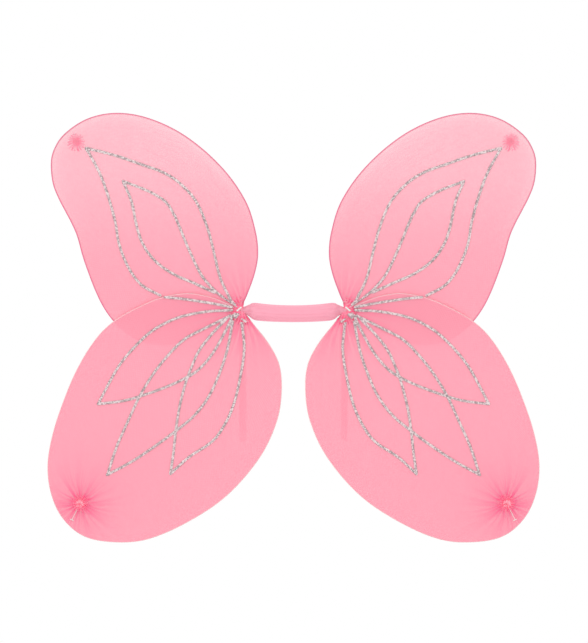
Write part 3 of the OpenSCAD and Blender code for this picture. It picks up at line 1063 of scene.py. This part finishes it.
def make_bar():
    """A jersey tube stuffed from inside: cut as a plain tube, drawn in at both ends, and blown out."""
    _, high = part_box("pad_sleeve")
    reach, full, nose = high.x - 0.6 * MM, high.z, 15 * MM
    rows, around, frames, most = 122, 72, 24, 1.3 * MM
    x = np.linspace(-reach, reach, rows)
    u = np.clip((np.abs(x) - reach + nose) / nose, 0, 1)
    radius = 4.4 * MM + (full - 3.9 * MM) * (1 - u**3.2)
    start, faces = bar_tube(x, radius, around, 0.018)
    start[:, 1] = np.minimum(start[:, 1], -0.3 * MM)
    bar = piece("padded_bar", start, faces, bar_finish)
    bar.shape_key_add(name="drawn_in")
    cut = bar.shape_key_add(name="cut")
    cut.data.foreach_set("co", bar_tube(x, np.full(rows, full + 0.8 * MM), around)[0].ravel())
    cut.value = 0
    held = bar.vertex_groups.new(name="held")
    held.add([*range(2 * around), *range((rows - 2) * around, rows * around)], 1.0, "REPLACE")
    cloth = bar.modifiers.new("stuffing", "CLOTH")
    s = cloth.settings
    s.quality, s.mass, s.air_damping = 6, 0.2, 4
    s.tension_stiffness = s.compression_stiffness = 12
    s.shear_stiffness, s.bending_stiffness = 6, 0.15
    s.use_pressure, s.uniform_pressure_force = True, 3.5
    s.vertex_group_mass, s.rest_shape_key = "held", cut
    s.effector_weights.gravity = 0
    cloth.point_cache.frame_start, cloth.point_cache.frame_end = 1, frames
    for number in range(1, frames + 1):
        scene.frame_set(number)
    finished(bar)
    scene.frame_set(1)
    shift = points_of(bar.data) - start
    far = norm(shift, axis=1, keepdims=True)
    at = start + shift * np.minimum(1, most / np.maximum(far, 1e-9))
    at[:, 1] = np.minimum(at[:, 1], 0.1 * MM)
    move_points(bar, at)
    face_outward(bar)
    finer = bar.modifiers.new("finer", "SUBSURF")
    finer.levels = finer.render_levels = 1
    finished(bar)
    settle(bar, "centre", "bar_fabric", "pad_sleeve")
    seam_x = np.linspace(-reach * 0.86, reach * 0.86, 60)
    seam = bpy.data.objects.new("seam", bpy.data.meshes.new("seam"))
    seam.data.from_pydata([(a, 0.05 * MM, -2.2 * MM) for a in seam_x],
                          [(i, i + 1) for i in range(len(seam_x) - 1)], [])
    sewn = stitches.grow("bar_seam", seam, thread_finish, Spacing=3.0 * MM, Length=1.05 * MM,
                         Thread=0.22 * MM)
    settle(sewn, "centre", "thread")


def make_foam():
    """The foam inside the bar, with its bore round the taped stems."""
    low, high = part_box("foam_pad")
    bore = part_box("tape_wrap")[1].z + 0.5 * MM
    rows, around = 60, 48
    x = np.linspace(low.x, high.x, rows)
    outer = np.full(rows, high.z - 1.5 * MM)
    sag = bar_sag(x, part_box("pad_sleeve")[1].x)
    there_and_back = np.concatenate([x, x[::-1], x[:1]])
    radius = np.concatenate([outer, np.full(rows, bore), outer[:1]])
    sag = np.concatenate([sag, np.zeros(rows), sag[:1]])
    points, faces = bar_tube(there_and_back, radius, around, sag=sag)
    points = points[:-around]
    faces = [tuple(i % len(points) for i in f) for f in faces]
    points[:, 1] = np.clip(points[:, 1], low.y, high.y)
    foam = face_outward(piece("bar_foam", points, faces, foam_finish))
    settle(foam, "centre", "foam", "foam_pad")


def make_bar_end(hand, side):
    """The bar's gathered end, drawn in tight and tied at the root."""
    low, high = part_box("pad_sleeve")
    rows, around = 34, 120
    x = np.linspace(high.x - 5 * MM, root[0] + 1.6 * MM, rows)
    t = np.linspace(0, 1, rows)
    radius = np.interp(t, [0, 0.2, 0.33, 0.6, 0.8, 1], np.array([7.9, 7.1, 6.1, 5.3, 5.1, 5.7]) * MM)
    sag = np.interp(t, [0, 0.35, 0.75, 1], [0.4 * MM, 1.1 * MM, 0, 0])
    points, faces = bar_tube(x, radius, around, 0.04, sag)
    points[:, 1] = np.minimum(points[:, 1], 0.1 * MM)
    end = face_outward(piece(f"bar_end_{hand}", points, faces, bar_finish, side))
    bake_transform(end)


# ---- everything in place ----

make_bar()
make_foam()
for kind, wing in wings.items():
    finish, shape = nylon(wing), cover_mesh(wing)
    corners = shape[0][np.array(shape[1])]
    crossed = np.cross(corners[:, 1] - corners[:, 0], corners[:, 2] - corners[:, 0])
    surface = norm(crossed, axis=1).sum() / 2
    tube_length = float(norm(wing.tip - root))
    for hand, side in SIDES.items():
        cover = make_cover(kind, hand, side, finish, shape)
        make_wire(kind, hand, side)
        tuft = make_tuft(kind, hand, side)

for hand, side in SIDES.items():
    for number, (node, kind) in enumerate((("upper_outer_vein", "upper"), ("upper_inner_vein", "upper"),
                                           ("over_rim_vein", "lower"), ("lower_veins", "lower"))):
        make_veins(f"{node}_{hand}", kind, hand, side, 11 + number)
    make_root_glitter(hand, side)
    make_collar(hand, side)
    make_binding(hand)
    make_hitch(hand, side)
    make_loop(hand, side)
    make_bar_end(hand, side)

carried = {"tip_barb_left": barb_finish, "tip_barb_right": barb_finish, "stem_wires": steel_finish,
           "crimp_left": steel_finish, "crimp_right": steel_finish, "tape_wrap": tape_finish}
for node, finish in carried.items():
    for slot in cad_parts[node].material_slots:
        slot.material = finish.material


# ---- room, light and camera ----

FLOOR_DROP, FLOOR_RADIUS = 0.45, 1.1

low, high = cad_box
floor_finish = plain("pale_floor", tone(250, 250, 250), tone(252, 252, 252), 900.0, 0.02 * MM,
                     Roughness=0.9)
ring = [(x, y, low.z - FLOOR_DROP) for x, y in round_section(FLOOR_RADIUS, 96)]
floor = piece("floor", ring, [tuple(range(96))], floor_finish, flat=True)

world = bpy.data.worlds.new("white_room")
world.use_nodes = True
for socket, value in (("Color", (1, 1, 1, 1)), ("Strength", 1.0)):
    world.node_tree.nodes["Background"].inputs[socket].default_value = value
scene.world = world

lamp = bpy.data.lights.new("key", "AREA")
lamp.shape, lamp.size, lamp.energy = "DISK", 1.2, 5
key = new_object("key", lamp)
key.location = (-0.6, -1.6, 1.7)
key.rotation_euler = (-key.location).to_track_quat("-Z", "Y").to_euler()

TALL = (high.x - low.x) * 1.3063    # what the camera's taller side takes in, at the lower wings
ASIDE, RISE = 0.65 * MM, 7.9 * MM   # the camera's place against the middle of the object
lens = bpy.data.cameras.new("camera")
lens.lens, lens.sensor_width, lens.clip_end = 100, 36, 30
camera = new_object("camera", lens)
distance = TALL * lens.lens / lens.sensor_width
camera.location = (ASIDE, wings["lower"].y - distance, (low.z + high.z) / 2 + RISE)
camera.rotation_euler = (math.pi / 2, 0, 0)
bpy.context.scene.camera = camera
scene.view_settings.view_transform = "Standard"
